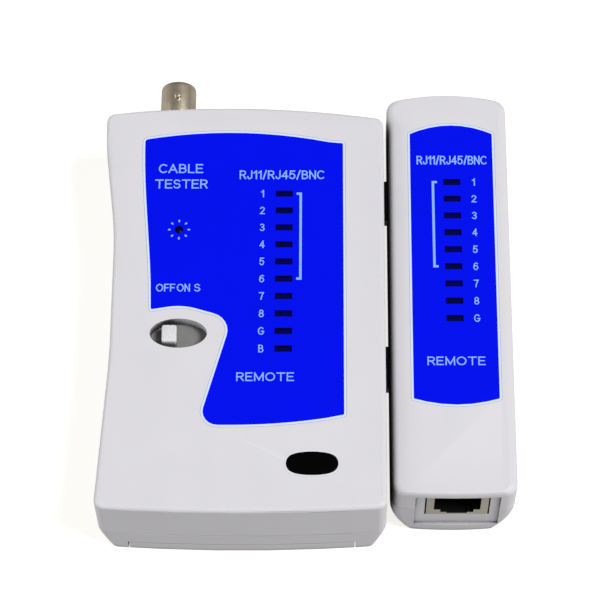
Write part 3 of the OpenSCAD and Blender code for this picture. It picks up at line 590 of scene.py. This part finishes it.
def build_remote_print():
    z = print_layer("remote_label", "remote_label_ink", "remote_unit")
    x, y, pitch = column("remote_leds", 9)
    bm = bmesh.new()
    add_letters(bm, "RJ11/RJ45/BNC", x + 0.05 * MM, y + 6.75 * MM, z, 2.7 * MM, 18.9 * MM)
    for i, mark in enumerate("12345678G"):
        add_letters(bm, mark, x + 5.85 * MM, y - i * pitch, z, 2.25 * MM)
    bracket(bm, x - 5.1 * MM, y, y - 5 * pitch, 1.1 * MM, z)
    add_letters(bm, "REMOTE", x + 0.15 * MM, y - 53 * MM, z, 2.5 * MM, 15.2 * MM)
    new_piece("remote_lettering", mesh_from(bm, "remote_lettering"), "lettering", "remote_unit",
              smooth=False)


# ---- Badge and switch ----

# How square the badge's outline is: 2 is an ellipse
BADGE_POWER = 2.7


def superellipse(size, power, count=72):
    out = []
    for i in range(count):
        a = 2 * math.pi * i / count
        c, s = math.cos(a), math.sin(a)
        out.append((size[0] / 2 * math.copysign(abs(c) ** (2 / power), c),
                    size[1] / 2 * math.copysign(abs(s) ** (2 / power), s)))
    return out


def build_badge():
    """Domed black badge with a printed rim around it."""
    low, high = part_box("blank_badge")
    centre = (low + high) / 2
    size = high - low
    bm = bmesh.new()
    rings = []
    for share, z in ((0.97, low.z), (1.0, high.z - 0.12 * MM), (0.995, high.z), (0.97, high.z + 0.07 * MM),
                     (0.9, high.z + 0.13 * MM), (0.75, high.z + 0.18 * MM), (0.5, high.z + 0.21 * MM),
                     (0.2, high.z + 0.225 * MM)):
        rings.append([(centre.x + x * share, centre.y + y * share, z)
                      for x, y in superellipse((size.x, size.y), BADGE_POWER)])
    skin(bm, rings)
    dome = new_piece("badge_dome", mesh_from(bm, "badge_dome"), "badge_black", "main_unit")
    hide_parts("blank_badge")
    bm = bmesh.new()
    outer = superellipse((size.x + 0.8 * MM, size.y + 0.8 * MM), BADGE_POWER)
    inner = superellipse((size.x + 0.15 * MM, size.y + 0.15 * MM), BADGE_POWER)
    levels = [high.z, high.z + 0.05 * MM, high.z + 0.05 * MM, high.z]
    loops = [[bm.verts.new((centre.x + x, centre.y + y, z)) for x, y in ring]
             for ring, z in zip((outer, outer, inner, inner), levels)]
    for a, b in zip(loops, loops[1:] + loops[:1]):
        for i in range(len(a)):
            j = (i + 1) % len(a)
            bm.faces.new((a[i], a[j], b[j], b[i]))
    new_piece("badge_rim", mesh_from(bm, "badge_rim"), "badge_edge", "main_unit",
              smooth=False)


def build_knob():
    """Slide knob: soft-cornered cap on its stem, with four rounded ridges for the finger."""
    low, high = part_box("power_switch_knob")
    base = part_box("switch_shutter")[1].z
    cx, cy = (low.x + high.x) / 2, (low.y + high.y) / 2
    width, length = high.x - low.x, high.y - low.y
    top = high.z - 0.16 * MM
    bm = bmesh.new()
    rings = [rounded_ring(cx, cy, 2.2 * MM, 2.8 * MM, 0.2 * MM, z) for z in (low.z, base)]
    skin(bm, rings)
    stack = ((0.0, base), (0.0, top - 0.45 * MM), (0.07, top - 0.2 * MM),
             (0.22, top - 0.05 * MM), (0.45, top))
    skin(bm, [rounded_ring(cx, cy, width - 2 * d * MM, length - 2 * d * MM, (0.65 - 0.6 * d) * MM, z)
              for d, z in stack])
    for i in range(4):
        x = cx + (i - 1.5) * 0.78 * MM
        half = length / 2 - 0.55 * MM
        spine = [(-half, 0.3), (-half + 0.3 * MM, 0.85), (0, 1), (half - 0.3 * MM, 0.85), (half, 0.3)]
        arcs = []
        for y, share in spine:
            arcs.append([(x + 0.24 * MM * math.cos(a) * (0.6 + 0.4 * share), cy + y,
                          top - 0.1 * MM + 0.24 * MM * math.sin(a) * share)
                         for a in [2 * math.pi * s / 14 for s in range(14)]])
        skin(bm, arcs)
    knob = new_piece("switch_knob", mesh_from(bm, "switch_knob"), "knob_white", "power_switch")
    knob.data.update()
    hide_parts("power_switch_knob")


def rounded_ring(cx, cy, width, length, radius, z):
    return [(cx + x, cy + y, z) for x, y in rounded_rectangle(width, length, radius)]


# ---- Coaxial jack ----

def build_coaxial_jack():
    """Bayonet jack: turned barrel with lugs and thread, insulator, and split centre contact."""
    low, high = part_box("bnc_shell")
    centre = middle("bnc_shell")
    end = high.y
    place = Matrix.Translation((centre.x, end, centre.z)) @ Matrix.Rotation(math.radians(-90), 4, "X")
    radius, bore, length = 4.85, 4.1, 13.6
    outline = [(5.7, -length, 0.2), (5.7, 1.6 - length, 0.35), (radius, 1.6 - length, 0.15),
               (radius, 3.4 - length, 0.1), (radius - 0.35, 3.55 - length, 0.1),
               (radius - 0.35, 4.45 - length, 0.1), (radius, 4.6 - length, 0.1),
               (radius, -0.9, 0.3), (radius - 0.16, 0, 0.3), (bore + 0.1, 0, 0.22), (bore, -0.7, 0.2),
               (bore, 1 - length, 0.2), (2.6, 1 - length, 0.1), (2.55, -8 - length, 0)]
    for i in range(9):
        z = -8 - length + 0.8 * i
        outline += [(4.2, z + 0.05, 0), (4.5, z + 0.3, 0), (4.5, z + 0.5, 0), (4.2, z + 0.75, 0)]
    outline.append((4.3, -length, 0))
    bm = bmesh.new()
    lathe(bm, [(r * MM, z * MM) for r, z in rounded_profile(outline)], place, 96)
    lug = [(0.001, 4.3, 0), (1.0, 4.3, 0), (1.0, 6.0, 0.35), (0.001, 6.05, 0)]
    for turn in (90, -90):
        out = place @ Matrix.Translation((0, 0, -4.7 * MM)) @ Matrix.Rotation(math.radians(turn), 4, "X")
        lathe(bm, [(r * MM, z * MM) for r, z in rounded_profile(lug, 5)], out, 32)
    shell = new_piece("coax_barrel", mesh_from(bm, "coax_barrel"), "nickel", "main_unit")
    sharpen(shell, 40)
    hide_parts("bnc_shell")

    sleeve = [(0.8, -22.4, 0.1), (2.45, -22.4, 0.1), (2.45, -12.7, 0.1), (2.4, -4.2, 0.3), (1.3, -4.1, 0.2),
              (1.1, -4.9, 0.1), (0.8, -4.9, 0.05)]
    bm = bmesh.new()
    lathe(bm, [(r * MM, z * MM) for r, z in rounded_profile(sleeve)], place, 48)
    insulator = new_piece("coax_insulator", mesh_from(bm, "coax_insulator"), "insulator_white", "main_unit")
    sharpen(insulator, 40)
    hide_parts("bnc_insulator")

    bm = bmesh.new()
    pin = [(0.02, -25.6, 0), (0.7, -25.6, 0.15), (0.7, -10.0, 0), (0.02, -10.0, 0)]
    lathe(bm, [(r * MM, z * MM) for r, z in rounded_profile(pin)], place, 24)
    finger = [(0.42, -10.0, 0), (0.7, -10.0, 0), (0.68, -4.6, 0.08), (0.42, -4.8, 0.04)]
    for quarter in range(4):
        start = math.radians(90 * quarter + 12)
        lathe(bm, [(r * MM, z * MM) for r, z in rounded_profile(finger)], place, 8, start,
              start + math.radians(66))
    contact = new_piece("coax_contact", mesh_from(bm, "coax_contact"), "gold_contact", "main_unit")
    sharpen(contact, 40)
    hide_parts("bnc_center_contact")


def sharpen(obj, angle):
    """Smooth shading, with hard edges above this angle."""
    obj.data.set_sharp_from_angle(angle=math.radians(angle))


# ---- Battery ----

def build_battery():
    """Nine-volt block: drawn can with rolled ends."""
    low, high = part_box("battery_9v")
    cy, cz = (low.y + high.y) / 2, (low.z + high.z) / 2
    width, height = high.y - low.y, high.z - low.z
    bm = bmesh.new()
    stations = ((0.0, 1.3), (0.0, 0.35), (0.25, 0.05), (0.6, 0.0), (1.1, 0.12), (1.6, 0.22), (2.4, 0.22))
    left = [(low.x + d * MM, inset * MM) for d, inset in stations]
    right = [(high.x - d * MM, inset * MM) for d, inset in reversed(stations)]
    skin(bm, [[(x, cy + y, cz + z) for y, z in rounded_rectangle(width - 2 * d, height - 2 * d, 3.2 * MM - d)]
              for x, d in left + right])
    can = new_piece("battery_can", mesh_from(bm, "battery_can"), "battery_jacket", "main_unit")
    sharpen(can, 50)
    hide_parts("battery_9v")


# ---- Stage, light and camera ----

def area_light(name, place, aim, size, power, color=(1, 1, 1)):
    data = bpy.data.lights.new(name, "AREA")
    data.shape = "RECTANGLE"
    data.size, data.size_y = size
    data.energy = power
    data.color = color
    obj = bpy.data.objects.new(name, data)
    obj.location = place
    obj.rotation_euler = (Vector(aim) - Vector(place)).to_track_quat("-Z", "Y").to_euler()
    bpy.context.scene.collection.objects.link(obj)


def build_stage():
    bm = bmesh.new()
    bmesh.ops.create_grid(bm, x_segments=8, y_segments=8, size=3)
    floor = bpy.data.objects.new("floor", mesh_from(bm, "floor"))
    bpy.context.scene.collection.objects.link(floor)
    mat = principled("floor", (0.36, 0.36, 0.36), 0.8, Specular_IOR_Level=0.0)
    shader_input(mat, "Emission Color").default_value = (1.0, 0.985, 0.94, 1)
    path = add_node(mat, "ShaderNodeLightPath")
    glow = remap(mat, path.outputs["Is Camera Ray"], 0.22, 0.8, 0, 1)
    link(mat, glow, shader_input(mat, "Emission Strength"))
    floor.data.materials.append(mat)
    world = bpy.data.worlds.new("studio")
    world.use_nodes = True
    sky = world.node_tree.nodes["Background"]
    sky.inputs["Color"].default_value = (1.0, 1.0, 1.0, 1)
    sky.inputs["Strength"].default_value = 0.25
    bpy.context.scene.world = world
    area_light("key", (1.45, -0.4, 2.6), (0, 0, 0), (0.9, 0.9), 78)
    area_light("side", (1.6, -0.9, 0.5), (0, 0, 0), (0.8, 0.5), 6, (1.0, 0.98, 0.94))
    area_light("low_fill", (-1.1, -0.1, 0.5), (0, 0, 0), (0.6, 0.4), 6)
    bpy.context.scene.view_settings.view_transform = "Standard"


def build_camera():
    """Telephoto camera at 64 degrees above the table, a little right of the main unit's middle."""
    elevation, distance = math.radians(64), 0.702
    aim = Vector((4.95, -6.2, 28.0)) * MM
    data = bpy.data.cameras.new("camera")
    data.lens = 160.5
    data.sensor_width = 36
    data.shift_x = -0.0417
    camera = bpy.data.objects.new("camera", data)
    camera.location = aim + distance * Vector((0, -math.cos(elevation), math.sin(elevation)))
    camera.rotation_euler = (math.radians(90) - elevation, 0, 0)
    bpy.context.scene.collection.objects.link(camera)
    bpy.context.scene.camera = camera


# ---- The whole ----

# Bevel width in millimetres for the CAD nodes that show their own mesh
SOFT_EDGES = {
    "main_front_shell": 0.15, "main_back_shell": 0.12, "remote_front_shell": 0.15,
    "remote_back_shell": 0.12, "battery_cover": 0.15, "switch_shutter": 0.1, "main_leds": 0.12,
    "remote_leds": 0.12, "main_rj45_housing": 0.15, "main_rj11_housing": 0.15,
    "remote_rj45_housing": 0.15, "remote_rj11_housing": 0.15, "battery_snap": 0.6,
    "battery_terminals": 0.2, "main_case_screws": 0.1, "main_pcb_screws": 0.1,
    "remote_case_screws": 0.1, "bnc_nut": 0.2, "bnc_washer": 0.08, "main_counter_chip": 0.1,
    "main_timer_chip": 0.1, "main_capacitors": 0.3, "main_resistors": 0.3, "remote_resistors": 0.3,
    "remote_diodes": 0.15, "power_switch_body": 0.15, "main_pcb": 0.1, "remote_pcb": 0.1,
}


def paint_where(node, material, chosen):
    """Gives the faces of a node whose corners pass a test another material."""
    mesh = NODES[node].data
    mesh.materials.append(MATERIALS[material])
    index = len(mesh.materials) - 1
    for face in mesh.polygons:
        if chosen([mesh.vertices[i].co for i in face.vertices]):
            face.material_index = index


def paint_jack_shade(node):
    """Paints shade inside a jack housing: the faces that aren't on its outer box get the near-black painted
    shade material.
    """
    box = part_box(node)

    def inside(points):
        return not any(all(abs(p[axis] - side[axis]) < 0.02 * MM for p in points)
                       for axis in range(3) for side in box)

    paint_where(node, "jack_painted_shade", inside)


def paint_window_shade(node, lights):
    """Paints shade on the walls of the openings around a row of indicators: they get a dark blue painted
    shade material.
    """
    low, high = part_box(lights)

    def wall(points):
        centre = sum(points, Vector()) / len(points)
        level = max(p.z for p in points) - min(p.z for p in points) < 0.01 * MM
        around = all(low[a] - 0.4 * MM < centre[a] < high[a] + 0.4 * MM for a in range(2))
        return not level and around and centre.z > high.z - 2.5 * MM

    paint_where(node, "window_painted_shade", wall)


def lighten_rail():
    """Gives the hooks on the main unit's side a plain material, without the painted crevice shade of the
    case.
    """
    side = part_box("main_back_shell")[1].x + 0.02 * MM
    paint_where("main_front_shell", "rail_white", lambda points: all(p.x > side for p in points))


def dress_frame():
    """Gives every CAD node the material of its slot, and rounds the edges of those listed."""
    slots = {row["node"]: row["material_slot"] for row in frame["record"]["subparts"]}
    for name, obj in NODES.items():
        paint(obj, slots[name])
    for label in ("main_label", "remote_label"):
        paint(NODES[label], "label_border")
    # Painted shade inside the jacks
    for jack in ("main_rj45_housing", "main_rj11_housing", "remote_rj45_housing", "remote_rj11_housing"):
        paint_jack_shade(jack)
    # Painted shade on the walls of the indicator windows
    for node, lights in (("main_front_shell", "main_leds"), ("main_label", "main_leds"),
                         ("main_label", "power_led"), ("remote_front_shell", "remote_leds"),
                         ("remote_label", "remote_leds")):
        paint_window_shade(node, lights)
    lighten_rail()
    for name, width in SOFT_EDGES.items():
        soften(NODES[name], width * MM)


build_camera()
build_stage()
dress_frame()
build_main_print()
build_remote_print()
build_badge()
build_knob()
build_coaxial_jack()
build_battery()
